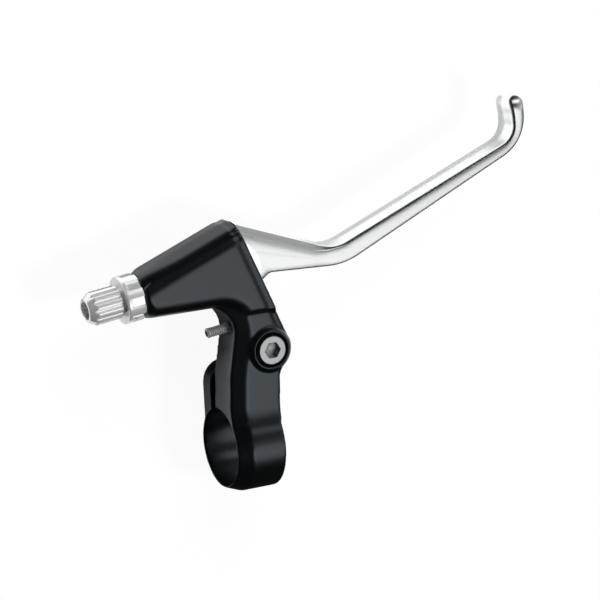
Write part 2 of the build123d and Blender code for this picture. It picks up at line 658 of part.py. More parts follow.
def make_clamp_washer():
    """Washer between the clamp bolt's head and the jaw."""
    washer = rod(JAW_AXIS, CLAMP_WASHER_DIAMETER / 2, CLAMP_HEAD_TOP, COUNTERBORE_FLOOR)
    hole = CLAMP_THREAD / 2 + CLAMP_BOLT_CLEARANCE
    return washer - rod(JAW_AXIS, hole, CLAMP_HEAD_TOP, COUNTERBORE_FLOOR)


os.makedirs("parts", exist_ok=True)
export_step(make_bracket(), "parts/bracket.step")
export_step(make_lever(), "parts/lever_blade.step")
export_step(make_bush(1), "parts/upper_bush.step")
export_step(make_bush(-1), "parts/lower_bush.step")
export_step(make_pivot_bolt(), "parts/pivot_bolt.step")
export_step(make_pivot_washer(), "parts/pivot_washer.step")
export_step(make_pivot_nut(), "parts/pivot_nut.step")
export_step(make_adjuster(), "parts/barrel_adjuster.step")
export_step(make_lock_ring(), "parts/lock_ring.step")
export_step(make_reach_screw(), "parts/reach_screw.step")
export_step(make_clamp_bolt(), "parts/clamp_bolt.step")
export_step(make_clamp_washer(), "parts/clamp_washer.step")
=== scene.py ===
import json
import logging
import math
from collections.abc import Sequence
from dataclasses import dataclass, field
from enum import Enum

import bmesh
import bpy
import numpy as np
from mathutils import Matrix, Vector


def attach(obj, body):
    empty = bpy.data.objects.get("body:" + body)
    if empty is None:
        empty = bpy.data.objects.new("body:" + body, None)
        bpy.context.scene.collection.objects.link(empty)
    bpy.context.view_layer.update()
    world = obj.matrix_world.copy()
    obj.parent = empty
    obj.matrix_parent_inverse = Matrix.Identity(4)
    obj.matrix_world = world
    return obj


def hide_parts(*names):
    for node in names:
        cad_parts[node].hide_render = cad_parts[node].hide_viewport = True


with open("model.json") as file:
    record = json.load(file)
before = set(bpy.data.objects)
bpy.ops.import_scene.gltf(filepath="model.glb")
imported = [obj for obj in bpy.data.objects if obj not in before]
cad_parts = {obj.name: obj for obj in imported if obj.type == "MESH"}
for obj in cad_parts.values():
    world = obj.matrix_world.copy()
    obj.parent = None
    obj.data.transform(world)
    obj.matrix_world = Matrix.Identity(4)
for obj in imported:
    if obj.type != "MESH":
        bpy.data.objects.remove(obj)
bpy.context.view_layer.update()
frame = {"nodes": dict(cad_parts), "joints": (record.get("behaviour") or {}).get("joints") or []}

# Bicycle brake lever: a painted casting, a polished lever and turned hardware.
# Lengths are in millimetres and angles in degrees, and a mesh is in metres in the frame's axes:
# X along the handlebar, Y forwards from it, Z up along the pivot.

MM = 0.001
MERGE = 0.001
FLAT_ANGLE = 0.3
SQUARE_ANGLE = 90.0
LOG = logging.getLogger("brake_lever")
RIGHT, AHEAD, UP = np.eye(3)
FULL_TURN = 2.0 * math.pi


class Body(Enum):
    """Moving bodies of the frame."""

    BRACKET = "bracket"
    LEVER = "lever"
    ADJUSTER = "adjuster"
    LOCK_RING = "lock_ring"
    REACH_SCREW = "reach_screw"


class Slot(Enum):
    """Material slots of the record."""

    BLACK_PAINT = "black_paint"
    POLISHED_ALLOY = "polished_alloy"
    TURNED_ALLOY = "turned_alloy"
    ZINC_STEEL = "zinc_steel"
    BLACK_STEEL = "black_steel"
    NYLON = "nylon"


def joint_line(name: str) -> tuple[np.ndarray, np.ndarray]:
    """Point on a joint's axis, in millimetres, and the axis's unit direction."""
    joint = next(j for j in frame["joints"] if j["name"] == name)
    return np.array(joint["pos_m"]) / MM, np.array(joint["axis"], float)


def plan(length: float, angle: float) -> np.ndarray:
    """Plan vector of a length, at an angle in degrees from the X axis."""
    return length * np.array([math.cos(math.radians(angle)), math.sin(math.radians(angle))])


def smooth_step(value: np.ndarray) -> np.ndarray:
    """Eased ramp 3t^2 - 2t^3, with t held between 0 and 1."""
    t = np.clip(value, 0.0, 1.0)
    return t * t * (3.0 - 2.0 * t)


def rounded_path(corners: np.ndarray, radii: Sequence[float], steps: int) -> np.ndarray:
    """Path of straight runs joined by arcs.

    Each corner is cut back by its radius times the tangent of half the turn, and the
    arc's points turn evenly about the arc's centre from one run to the next.

    Args:
        corners: the runs' end points, one row each.
        radii: the radius at each inner corner.
        steps: points on each arc.

    Returns:
        The path's points: the first corner, each arc in turn, and the last corner.
    """
    runs = np.diff(corners, axis=0)
    runs = runs / np.linalg.norm(runs, axis=1, keepdims=True)
    pieces = [corners[:1]]
    for corner, before, after, radius in zip(corners[1:-1], runs[:-1], runs[1:], radii):
        turn = math.atan2(before[0] * after[1] - before[1] * after[0], before @ after)
        left = np.array([-before[1], before[0]]) * math.copysign(1.0, turn)
        centre = corner - before * radius * math.tan(abs(turn) / 2) + left * radius
        angle = np.linspace(0.0, turn, steps)[:, None]
        start = -left * radius
        across = np.array([-start[1], start[0]])
        pieces.append(centre + np.cos(angle) * start + np.sin(angle) * across)
    pieces.append(corners[-1:])
    return np.vstack(pieces)


def loop_profile(
    corners: list[tuple[float, float]], radii: Sequence[float], steps: int
) -> np.ndarray:
    """Closed profile with a rounded corner at each of its points.

    Args:
        corners: the profile's corners in order.
        radii: the radius at each corner.
        steps: points on each rounded corner.

    Returns:
        The profile's points, without its first point again at the end.
    """
    points = np.array(corners, float)
    start = (points[-1] + points[0]) / 2
    path = rounded_path(np.vstack([start, points, start]), radii, steps)
    return path[:-1]


def run_length(path: np.ndarray) -> np.ndarray:
    """Length along a path at each of its points: the running sum of its steps."""
    return np.concatenate([[0.0], np.cumsum(np.linalg.norm(np.diff(path, axis=0), axis=1))])


def spread(path: np.ndarray, longest: float) -> np.ndarray:
    """Closed path with points added so that no step is longer than a given length.

    Args:
        path: the points of the path, which closes on itself.
        longest: the longest step allowed.

    Returns:
        The path with points added evenly along its long steps.
    """
    closed = np.vstack([path, path[:1]])
    steps = np.linalg.norm(np.diff(closed, axis=0), axis=1)
    counts = np.maximum(np.ceil(steps / longest).astype(int), 1)
    index = np.repeat(np.arange(len(steps)), counts)
    part = (np.arange(len(index)) - np.repeat(np.cumsum(counts) - counts, counts)) / counts[index]
    return closed[index] + (closed[index + 1] - closed[index]) * part[:, None]


def even_steps(ends: np.ndarray, counts: tuple[int, ...]) -> np.ndarray:
    """Values spaced evenly from each end to the next, by count, without the last end."""
    stretches = zip(ends[:-1], ends[1:], counts)
    return np.concatenate([np.linspace(a, b, n, endpoint=False) for a, b, n in stretches])


def ring_faces(rows: int, columns: int, closed_rows: bool) -> np.ndarray:
    """Quads of a grid whose columns close on themselves.

    Args:
        rows: number of rows.
        columns: number of columns.
        closed_rows: whether the last row joins the first.

    Returns:
        Vertex numbers, four for each quad.
    """
    i = np.arange(rows if closed_rows else rows - 1)[:, None]
    j = np.arange(columns)[None, :]
    below, beside = (i + 1) % rows, (j + 1) % columns
    corners = [i * columns + j, i * columns + beside, below * columns + beside, below * columns + j]
    return np.stack(corners, axis=-1).reshape(-1, 4)


def signed_volume(points: np.ndarray, quads: np.ndarray) -> float:
    """Volume inside quads, negative where they face inwards.

    The sum over triangles of the triple product of their corners, divided by 6.

    Args:
        points: the points, one row each.
        quads: four point numbers for each quad.

    Returns:
        The signed volume.
    """
    a, b, c, d = (points[quads[:, k]] for k in range(4))
    triple = np.einsum("ij,ij->i", a, np.cross(b, c)) + np.einsum("ij,ij->i", a, np.cross(c, d))
    return float(triple.sum() / 6.0)


@dataclass
class Skin:
    """A mesh in the making: points in millimetres, and faces by their numbers."""

    points: np.ndarray
    faces: list[list[int]]

    @staticmethod
    def from_rings(rings: np.ndarray, closed_rows: bool = False) -> "Skin":
        """Skin of rings of points, closed along the rows or with a cap at both ends.

        Args:
            rings: points by row and column; each row is a closed ring.
            closed_rows: whether the last ring joins the first.

        Returns:
            The closed skin, with its faces outwards.
        """
        rows, columns, _ = rings.shape
        points = rings.reshape(-1, 3)
        quads = ring_faces(rows, columns, closed_rows)
        inside_out = signed_volume(points - points.mean(axis=0), quads) < 0
        faces = quads[:, ::-1].tolist() if inside_out else quads.tolist()
        if not closed_rows:
            first, last = list(range(columns)), list(range((rows - 1) * columns, rows * columns))
            faces.append(first if inside_out else first[::-1])
            faces.append(last[::-1] if inside_out else last)
        return Skin(points, faces)

    def to_object(self, name: str, crease: float) -> bpy.types.Object:
        """Object of the skin, shaded smooth except across creases.

        Args:
            name: the object's name.
            crease: the angle in degrees past which an edge stays sharp.

        Returns:
            The new object, at the origin.
        """
        mesh = bpy.data.meshes.new(name)
        mesh.from_pydata((self.points * MM).tolist(), [], self.faces)
        mesh.validate()
        return new_object(name, mesh, crease)


def in_scene(name: str, data: bpy.types.ID) -> bpy.types.Object:
    """Object for a mesh, light or camera, linked to the scene.

    Args:
        name: the object's name.
        data: the mesh, light or camera.

    Returns:
        The new object, at the origin.
    """
    made = bpy.data.objects.new(name, data)
    bpy.context.scene.collection.objects.link(made)
    return made


def new_object(name: str, mesh: bpy.types.Mesh, crease: float) -> bpy.types.Object:
    """Object for a mesh, in the scene, shaded smooth except across creases.

    Args:
        name: the object's name.
        mesh: its mesh.
        crease: the angle in degrees past which an edge stays sharp.

    Returns:
        The new object, at the origin.
    """
    mesh.shade_smooth()
    mesh.set_sharp_from_angle(angle=math.radians(crease))
    return in_scene(name, mesh)


@dataclass(frozen=True)
class TurnedAxis:
    """Frame of a turned piece: a point on its axis, the axis, and the way its turn starts."""

    origin: np.ndarray
    along: np.ndarray
    start: np.ndarray

    def surface(self, along: np.ndarray, radius: np.ndarray, turn: np.ndarray) -> np.ndarray:
        """Points at distances along the axis, at radii and turned angles.

        The point is origin + along * axis + radius * (cos turn * start + sin turn * side),
        where the side direction is square to the axis and the start.

        Args:
            along: distance along the axis, by row and column.
            radius: distance from the axis, by row and column.
            turn: angle in radians, by column.

        Returns:
            Points by row and column.
        """
        side = np.cross(self.along, self.start)
        outward = np.cos(turn)[..., None] * self.start + np.sin(turn)[..., None] * side
        return self.origin + along[..., None] * self.along + radius[..., None] * outward


def turned_grid(profile: np.ndarray, turn: np.ndarray) -> tuple[np.ndarray, np.ndarray]:
    """Distances along and from the axis of a profile, by profile point and turned angle."""
    shape = len(profile), len(turn)
    return np.broadcast_to(profile[:, :1], shape), np.broadcast_to(profile[:, 1:], shape)


def wire(
    tree: bpy.types.NodeTree, *pairs: tuple[bpy.types.NodeSocket, bpy.types.NodeSocket]
) -> None:
    """Links the output socket of each pair to its input socket."""
    for source, socket in pairs:
        tree.links.new(source, socket)


def noise_group() -> bpy.types.NodeTree:
    """Node group of a fine grain, shared by the finishes.

    Two noises on object coordinates, coarse and fine, are mixed half and half into a value
    around 0.5.

    Returns:
        The group, with Scale and Fineness inputs and a Grain output.
    """
    tree = bpy.data.node_groups.new("fine_grain", "ShaderNodeTree")
    for name, way in (("Scale", "INPUT"), ("Fineness", "INPUT"), ("Grain", "OUTPUT")):
        tree.interface.new_socket(name, in_out=way, socket_type="NodeSocketFloat")
    kinds = ("NodeGroupInput", "NodeGroupOutput", "ShaderNodeTexCoord", "ShaderNodeTexNoise")
    entry, leave, place, coarse = (tree.nodes.new(kind) for kind in kinds)
    kinds = ("ShaderNodeTexNoise", "ShaderNodeMath", "ShaderNodeMix")
    fine, finer, mix = (tree.nodes.new(kind) for kind in kinds)
    finer.operation = "MULTIPLY"
    mix.inputs["Factor"].default_value = 0.5
    wire(
        tree,
        (entry.outputs["Scale"], coarse.inputs["Scale"]),
        (entry.outputs["Scale"], finer.inputs[0]),
        (entry.outputs["Fineness"], finer.inputs[1]),
        (finer.outputs["Value"], fine.inputs["Scale"]),
        (place.outputs["Object"], coarse.inputs["Vector"]),
        (place.outputs["Object"], fine.inputs["Vector"]),
        (coarse.outputs["Fac"], mix.inputs["A"]),
        (fine.outputs["Fac"], mix.inputs["B"]),
        (mix.outputs["Result"], leave.inputs["Grain"]),
    )
    return tree


@dataclass(frozen=True)
class Finish:
    """A finish: colour, metal or not, roughness and gloss, and the grain in its surface."""

    name: str
    colour: tuple[float, float, float]
    colour_swing: float
    metallic: float
    roughness: float
    roughness_swing: float
    grain_scale: float
    grain_fineness: float
    grain_depth: float
    specular: float = 0.5
    gloss_tint: tuple[float, float, float] = (1.0, 1.0, 1.0)

    def material(self, grain: bpy.types.NodeTree) -> bpy.types.Material:
        """Material of the finish.

        The grain swings the colour and the roughness about their means, and feeds a
        shallow bump.

        Args:
            grain: the shared grain group.

        Returns:
            The new material.
        """
        made = bpy.data.materials.new(self.name)
        made.use_nodes = True
        nodes = made.node_tree.nodes
        shader = nodes["Principled BSDF"]
        shader.inputs["Metallic"].default_value = self.metallic
        shader.inputs["Specular IOR Level"].default_value = self.specular
        shader.inputs["Specular Tint"].default_value = (*self.gloss_tint, 1.0)
        group = nodes.new("ShaderNodeGroup")
        group.node_tree = grain
        group.inputs["Scale"].default_value = self.grain_scale
        group.inputs["Fineness"].default_value = self.grain_fineness
        tone = nodes.new("ShaderNodeMix")
        tone.data_type = "RGBA"
        dark, pale = (side for side in tone.inputs if side.name in "AB" and side.type == "RGBA")
        dark.default_value = (*(c * (1.0 - self.colour_swing) for c in self.colour), 1.0)
        pale.default_value = (*(min(c * (1.0 + self.colour_swing), 1.0) for c in self.colour), 1.0)
        tinted = next(out for out in tone.outputs if out.type == "RGBA")
        swing = nodes.new("ShaderNodeMapRange")
        swing.inputs["To Min"].default_value = self.roughness - self.roughness_swing
        swing.inputs["To Max"].default_value = self.roughness + self.roughness_swing
        bump = nodes.new("ShaderNodeBump")
        bump.inputs["Distance"].default_value = self.grain_depth * MM
        wire(
            made.node_tree,
            (group.outputs["Grain"], tone.inputs["Factor"]),
            (group.outputs["Grain"], swing.inputs["Value"]),
            (group.outputs["Grain"], bump.inputs["Height"]),
            (tinted, shader.inputs["Base Color"]),
            (swing.outputs["Result"], shader.inputs["Roughness"]),
            (bump.outputs["Normal"], shader.inputs["Normal"]),
        )
        return made


FINISHES = {
    Slot.BLACK_PAINT: Finish(
        "black_paint", (0.001, 0.00105, 0.0011), 0.3, 0.0, 0.30, 0.03, 900.0, 3.0, 0.006,
        specular=0.98, gloss_tint=(0.80, 0.91, 1.0),
    ),
    Slot.POLISHED_ALLOY: Finish(
        "polished_alloy", (0.90, 0.91, 0.915), 0.03, 1.0, 0.25, 0.02, 3000.0, 4.0, 0.0004
    ),
    Slot.TURNED_ALLOY: Finish(
        "turned_alloy", (0.95, 0.955, 0.955), 0.04, 0.66, 0.23, 0.03, 3000.0, 4.0, 0.001
    ),
    Slot.ZINC_STEEL: Finish(
        "zinc_steel", (0.63, 0.645, 0.65), 0.1, 1.0, 0.40, 0.05, 1500.0, 3.0, 0.005
    ),
    Slot.BLACK_STEEL: Finish(
        "black_steel", (0.50, 0.505, 0.51), 0.2, 0.65, 0.32, 0.05, 1500.0, 3.0, 0.005
    ),
    Slot.NYLON: Finish("nylon", (0.80, 0.79, 0.74), 0.05, 0.0, 0.45, 0.05, 600.0, 3.0, 0.01),
}


@dataclass
class Paintshop:
    """Makes each finish's material once, and dresses pieces with it."""

    grain: bpy.types.NodeTree = field(default_factory=noise_group)
    made: dict[Slot, bpy.types.Material] = field(default_factory=dict)

    def dress(self, piece: bpy.types.Object, slot: Slot, body: Body, *nodes: str) -> None:
        """Gives a piece its finish, parents it to its body and hides the CAD nodes that it stands
        for.

        Args:
            piece: the object to dress.
            slot: the record's slot that gives its finish.
            body: the body that it rides on.
            nodes: the CAD nodes that it replaces.
        """
        if slot not in self.made:
            self.made[slot] = FINISHES[slot].material(self.grain)
        piece.data.materials.clear()
        piece.data.materials.append(self.made[slot])
        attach(piece, body.value)
        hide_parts(*nodes)
        LOG.info("%s: %d faces, on %s", piece.name, len(piece.data.polygons), body.value)


def merged_copy(node: str) -> bmesh.types.BMesh:
    """Copy of a CAD node's mesh with its triangles joined, and its flat faces made whole.

    Args:
        node: the CAD node to copy.

    Returns:
        The copy, which the caller frees.
    """
    copy = bmesh.new()
    copy.from_mesh(frame["nodes"][node].data)
    bmesh.ops.remove_doubles(copy, verts=copy.verts, dist=MERGE * MM)
    flat = math.radians(FLAT_ANGLE)
    bmesh.ops.dissolve_limit(copy, angle_limit=flat, verts=copy.verts, edges=copy.edges)
    return copy


def plain_mesh(copy: bmesh.types.BMesh, name: str) -> bpy.types.Mesh:
    """New mesh from a BMesh, without the imported normals.

    Args:
        copy: the BMesh, which is freed.
        name: the mesh's name.

    Returns:
        The new mesh.
    """
    mesh = bpy.data.meshes.new(name)
    copy.to_mesh(mesh)
    copy.free()
    if "custom_normal" in mesh.attributes:
        mesh.attributes.remove(mesh.attributes["custom_normal"])
    return mesh


@dataclass(frozen=True)
class SoftEdges:
    """Rounding of a machined or cast piece's edges."""

    width: float
    crease: float
    segments: int = 2

    def piece(self, node: str, name: str) -> bpy.types.Object:
        """Copy of a CAD node with its edges rounded.

        Args:
            node: the CAD node to copy.
            name: the new object's name.

        Returns:
            The new object, with a Bevel modifier.
        """
        made = new_object(name, plain_mesh(merged_copy(node), name), self.crease)
        bevel = made.modifiers.new("soft_edges", "BEVEL")
        bevel.width = self.width * MM
        bevel.segments = self.segments
        bevel.limit_method = "ANGLE"
        bevel.angle_limit = math.radians(self.crease)
        bevel.harden_normals = True
        return made


@dataclass
class Casting:
    """Bracket: hooked bar clamp, neck, ears, cowl and horn, cast in one and painted."""

    mesh_step: float = 0.42
    soft_share: float = 0.5
    soft_passes: int = 6
    ring_radius: float = 13.2
    bore_radius: float = 11.1
    neck_top: float = 10.0
    blend_radius: float = 14.0
    blend_floor: float = 4.0
    blend_full: float = 9.0
    bore_clear: float = 0.2
    horn_radius: float = 6.2
    front_angle: float = 14.8
    fore_height: float = 6.75
    fore_lean: float = 22.0
    fore_rounding: float = 5.5
    fore_growth: float = 14.0
    fore_steps: int = 24
    fore_step: float = 0.2
    wall_inner: float = 1.8
    wall_under: float = 5.75
    cowl_wall: float = 0.7
    mouth_point: tuple[float, float] = (-2.138, 65.305)
    mouth_angle: float = 22.6
    rim_start: float = -3.0
    rim_inset: float = 0.35
    crease: float = 180.0

    def blank(self) -> bpy.types.Mesh:
        """Even mesh of the CAD bracket.

        Returns:
            The mesh, with faces of one size all over.
        """
        name = "casting_blank"
        rough = new_object(name, plain_mesh(merged_copy("bracket"), name), self.crease)
        even = rough.modifiers.new("even_mesh", "REMESH")
        even.mode, even.voxel_size = "VOXEL", self.mesh_step * MM
        graph = bpy.context.evaluated_depsgraph_get()
        mesh = bpy.data.meshes.new_from_object(rough.evaluated_get(graph))
        bpy.data.objects.remove(rough)
        return mesh

    def blend(self, points: np.ndarray) -> np.ndarray:
        """Points with the neck's top led up on to the ring by a hollow arc.

        The arc touches the neck's level top and the ring's circle. Between its ends a point
        near the top is raised by the arc's height less the height of the neck or the ring.

        Args:
            points: the casting's points.

        Returns:
            The moved points.
        """
        y, z = points[:, 1], points[:, 2]
        arc_z = self.neck_top + self.blend_radius
        reach = self.ring_radius + self.blend_radius
        arc_y = math.sqrt(reach**2 - arc_z**2)
        first = arc_y * self.ring_radius / reach
        along = np.clip(y, first, arc_y)
        arc = arc_z - np.sqrt(self.blend_radius**2 - (along - arc_y) ** 2)
        ring = np.sqrt(np.maximum(self.ring_radius**2 - along**2, 0.0))
        rise = np.maximum(arc - np.maximum(ring, self.neck_top), 0.0)
        rise = np.minimum(rise, np.maximum(arc - z, 0.0))
        high = smooth_step((z - self.blend_floor) / (self.blend_full - self.blend_floor))
        outside = smooth_step(np.hypot(y, z) - self.bore_radius - self.bore_clear)
        return points + (rise * high * outside)[:, None] * UP

    def fore_section(self, angle: np.ndarray) -> np.ndarray:
        """Distance of the cowl's wanted front section from its middle line, by angle.

        The section is a leaning wall, an arc and the level top. The angle is 0 straight
        to the front and a quarter turn straight up.

        Args:
            angle: angles about the middle line, in radians.

        Returns:
            The distance at each angle.
        """
        tall = self.fore_height
        shoulder = tall * math.tan(math.radians(self.fore_lean))
        corners = np.array([(0.0, 0.0), (shoulder, tall), (tall, tall)])
        path = spread(rounded_path(corners, [self.fore_rounding], self.fore_steps), self.fore_step)
        path = path[: np.argmax(path[:, 0]) + 1]
        front, up = tall - path[:, 0], path[:, 1]
        return np.interp(angle, np.arctan2(up, front), np.hypot(front, up))

    def fore_edge(self, points: np.ndarray) -> np.ndarray:
        """Points with the cowl's upper front wall leaning back into a broad rounded edge.

        The wanted section grows out of the horn's round end. A point further from the
        middle line is drawn in to it along the line to it. Inside the cowl the distance is
        less by the wall, and at the mouth's rim by the rim's inset.

        Args:
            points: the casting's points.

        Returns:
            The moved points.
        """
        origin, along = joint_line("adjuster_turn")
        aside = np.cross(UP, along)
        from_horn, across = (points - origin) @ along, (points - origin) @ aside
        up = points[:, 2] - origin[2]
        lean = math.radians(self.front_angle)
        depth = (self.horn_radius + from_horn * math.tan(lean) - across) * math.cos(lean)
        outward = aside * math.cos(lean) - along * math.sin(lean)
        hollow = (depth > self.wall_inner) & (up < self.wall_under)
        to_mouth = (points[:, :2] - np.array(self.mouth_point)) @ plan(1.0, self.mouth_angle)
        rim = self.rim_inset * smooth_step(to_mouth - self.rim_start)
        inset = np.where(hollow, self.cowl_wall, rim)
        front = self.fore_height - depth
        wanted = self.fore_section(np.arctan2(up, front))
        grown = smooth_step(from_horn / self.fore_growth)
        wanted = self.fore_height + (wanted - self.fore_height) * grown - inset
        ratio = wanted / np.maximum(np.hypot(front, up), wanted)
        drawn = np.where((up > 0.0) & (front > 0.0), ratio - 1.0, 0.0)
        return points + (drawn * front)[:, None] * outward + (drawn * up)[:, None] * UP

    def build(self, shop: Paintshop) -> None:
        """Makes the casting, softens it all over and paints it.

        Args:
            shop: gives each piece its finish.
        """
        mesh = self.blank()
        points = np.empty(3 * len(mesh.vertices))
        mesh.vertices.foreach_get("co", points)
        points = self.fore_edge(self.blend(points.reshape(-1, 3) / MM))
        mesh.vertices.foreach_set("co", (points * MM).ravel())
        made = new_object("bracket_casting", mesh, self.crease)
        soft = made.modifiers.new("soft_edges", "SMOOTH")
        soft.factor, soft.iterations = self.soft_share, self.soft_passes
        shop.dress(made, Slot.BLACK_PAINT, Body.BRACKET, "bracket")


@dataclass
class LeverForging:
    """Lever: the polished finger blade, and the tongue that turns in the cowl."""

    front_root: tuple[float, float] = (-2.138, 65.305)
    mouth_angle: float = 22.6
    root_width: float = 18.7
    root_angle: float = -20.4
    root_length: float = 31.8
    heel_angle: float = 35.6
    heel_length: float = 3.0
    heel_radius: float = 2.5
    bend_thickness: float = 6.4
    bend_skew: float = -61.0
    front_bend_radius: float = 12.5
    back_bend_radius: float = 22.0
    blade_angle: float = 21.9
    blade_length: float = 64.35
    curl_thickness: float = 4.8
    curl_skew: float = -24.9
    front_curl_radius: float = 5.5
    back_curl_radius: float = 12.5
    tip_angle: float = 94.0
    tip_length: float = 11.78
    tip_thickness: float = 4.76
    tip_round: float = 2.5
    height: float = 9.9
    middle_z: float = 4.15
    draft: float = 7.0
    back_draft: float = 3.0
    root_end: float = 0.43
    root_fade: float = 0.13
    ease_slope: tuple[float, float] = (8.0, 10.0)
    ease_share: float = 0.6
    bevel_slope: tuple[float, float] = (31.0, 38.0)
    bevel_gain: float = 4.0
    back_slope: tuple[float, float] = (11.0, 12.0)
    front_ease: float = 1.8
    front_turn: tuple[float, float] = (0.8, 0.3)
    front_bevel: tuple[float, float] = (2.5, 0.05)
    front_corner: tuple[float, float] = (0.7, 1.3)
    back_ease: tuple[float, float] = (2.4, 0.8)
    back_corner: tuple[float, float] = (0.9, 0.7)
    face_crown: float = 0.08
    crown_width: float = 6.0
    full_half: float = 2.2
    tip_swell: float = 0.35
    swell_start: float = 0.88
    tip_corner: float = 1.5
    corner_start: float = 0.86
    tip_ramp: float = 0.07
    tip_fall: float = 3.0
    tip_crest: float = 4.6
    crest_share: float = 0.98
    end_share: float = 0.95
    end_turn: float = 88.2
    relief_radius: float = 19.0
    relief_bulge: float = 1.8
    relief_back: float = 8.4
    relief_slope: float = 8.0
    relief_depth: float = 0.4
    tongue_overlap: float = 0.05
    crease: float = 24.0
    arc_steps: int = 41
    stretch_steps: tuple[int, int, int] = (120, 100, 56)
    flank_steps: int = 7
    wall_steps: int = 7
    top_steps: int = 32
    tip_rings: int = 14

    def mouth(self) -> tuple[np.ndarray, np.ndarray]:
        """Plan directions out of the cowl's mouth, and along it from front to back."""
        return plan(1.0, self.mouth_angle), plan(1.0, self.mouth_angle - SQUARE_ANGLE)

    def outlines(self) -> tuple[np.ndarray, np.ndarray]:
        """Front and back outlines of the blade, sampled in step with each other.

        Both run from the root over the bend and the curl to the tip. They are cut at the
        middles of the bend and the curl, and each stretch is sampled by its own length.

        Returns:
            Plan points of the front and of the back, one row for each station.
        """
        _, along = self.mouth()
        root = np.array(self.front_root)
        bend = root + plan(self.root_length, self.root_angle)
        curl = bend + plan(self.blade_length, self.blade_angle)
        tip = curl + plan(self.tip_length - self.tip_round, self.tip_angle)
        radii = [self.front_bend_radius, self.front_curl_radius]
        front = rounded_path(np.array([root, bend, curl, tip]), radii, self.arc_steps)
        heel = root + along * self.root_width
        corners = [
            heel,
            heel + plan(self.heel_length, self.heel_angle),
            bend + plan(self.bend_thickness, self.bend_skew),
            curl + plan(self.curl_thickness, self.curl_skew),
            tip + plan(self.tip_thickness, self.tip_angle - SQUARE_ANGLE),
        ]
        radii = [self.heel_radius, self.back_bend_radius, self.back_curl_radius]
        back = rounded_path(np.array(corners), radii, self.arc_steps)
        middle = 1 + self.arc_steps // 2
        front_cuts = [0, middle, middle + self.arc_steps, len(front) - 1]
        back_cuts = [0, middle + self.arc_steps, middle + 2 * self.arc_steps, len(back) - 1]
        return self.stations(front, front_cuts), self.stations(back, back_cuts)

    def stations(self, path: np.ndarray, cuts: list[int]) -> np.ndarray:
        """Points along a path, a fixed number on each stretch between its cuts.

        Args:
            path: the path's points.
            cuts: the numbers of the points that end each stretch.

        Returns:
            The points, spaced evenly by length on each stretch.
        """
        length = run_length(path)
        ends = length[cuts]
        wanted = np.append(even_steps(ends, self.stretch_steps), ends[-1])
        return np.stack([np.interp(wanted, length, path[:, k]) for k in range(2)], axis=1)

    def flank(
        self, lengths: list[np.ndarray], slopes: list[np.ndarray], tall: np.ndarray
    ) -> tuple[np.ndarray, np.ndarray]:
        """One flank of a section, from its top face to the parting line at its middle height.

        The slope changes evenly along each length from one given slope to the next, and the
        wall is straight from there. The outline is the running sum of the steps times
        (cos slope, sin slope).

        Args:
            lengths: the lengths along the flank, each by station.
            slopes: the slopes in degrees where the lengths meet, each by station.
            tall: half height, by station.

        Returns:
            Distances in from the parting line and down from the top, by station and point.
        """
        share = (np.arange(self.flank_steps) + 0.5) / self.flank_steps
        pairs = zip(slopes[:-1], slopes[1:])
        middle = np.radians(np.hstack([a[:, None] + (b - a)[:, None] * share for a, b in pairs]))
        steps = np.repeat(np.stack(lengths, axis=1) / self.flank_steps, self.flank_steps, axis=1)
        start = np.zeros((len(tall), 1))
        run = np.hstack([start, np.cumsum(steps * np.cos(middle), axis=1)])
        fall = np.hstack([start, np.cumsum(steps * np.sin(middle), axis=1)])
        share = np.linspace(0.0, 1.0, self.wall_steps + 1)[None, 1:]
        wall = (tall[:, None] - fall[:, -1:]) * share
        run = np.hstack([run, run[:, -1:] + wall / np.tan(np.radians(slopes[-1]))[:, None]])
        fall = np.hstack([fall, fall[:, -1:] + wall])
        return run[:, -1:] - run, fall

    def section(self, half: np.ndarray, tall: np.ndarray, travel: np.ndarray) -> np.ndarray:
        """Sections of the blade: a bevelled front edge, a plainer back one and crowned faces.

        The front edge is an ease, a turn, a bevel and a corner, and the back edge an ease
        and a corner; each goes over from its root size to its blade size at the bend. At
        the root the ease is a share of the half width. The top face between them is raised
        by its crown times (1 - t^2), with t from -1 to 1 across it, and the lower half
        mirrors the upper at the parting line.

        Args:
            half: half width of each section.
            tall: half height of each section.
            travel: how far along the lever each section lies, from 0 to 1.

        Returns:
            Distances across and up, by station and point round the section.
        """
        root = smooth_step((self.root_end - travel) / self.root_fade)
        size = np.minimum(np.minimum(half / self.full_half, tall / tall.max()), 1.0)
        level = np.zeros(len(half))

        def along(pair: tuple[float, float]) -> np.ndarray:
            """Values that go over from the root's to the blade's."""
            return pair[1] + (pair[0] - pair[1]) * root

        upright = level + SQUARE_ANGLE
        bevel = along(self.bevel_slope)
        corner = along(self.front_corner)
        at_tip = smooth_step((travel - self.corner_start) / self.tip_ramp)
        corner = size * (corner + (self.tip_corner - corner) * at_tip)
        ease = self.front_ease * size
        ease = ease + np.maximum(self.ease_share * half - ease, 0.0) * root
        front_in, front_down = self.flank(
            [ease, size * along(self.front_turn), size * along(self.front_bevel), corner],
            [level, along(self.ease_slope), bevel, bevel + self.bevel_gain, upright - self.draft],
            tall,
        )
        back_in, back_down = self.flank(
            [size * along(pair) for pair in (self.back_ease, self.back_corner)],
            [level, along(self.back_slope), upright - self.back_draft],
            tall,
        )
        half, tall = half[:, None], tall[:, None]
        left, right = -half + front_in[:, :1], half - back_in[:, :1]
        t = np.linspace(-1.0, 1.0, self.top_steps)[None, 1:-1]
        top = left + (right - left) * (t + 1.0) / 2.0
        crown = self.face_crown * np.minimum((right - left) / self.crown_width, 1.0)
        rise = tall + crown * (1.0 - t**2)
        across = [(-half + front_in)[:, ::-1], top, half - back_in]
        up = [(tall - front_down)[:, ::-1], rise, tall - back_down]
        upper = np.stack([np.hstack(across), np.hstack(up)], axis=-1)
        lower = upper[:, -2:0:-1] * np.array([1.0, -1.0])
        return np.concatenate([upper, lower], axis=1)

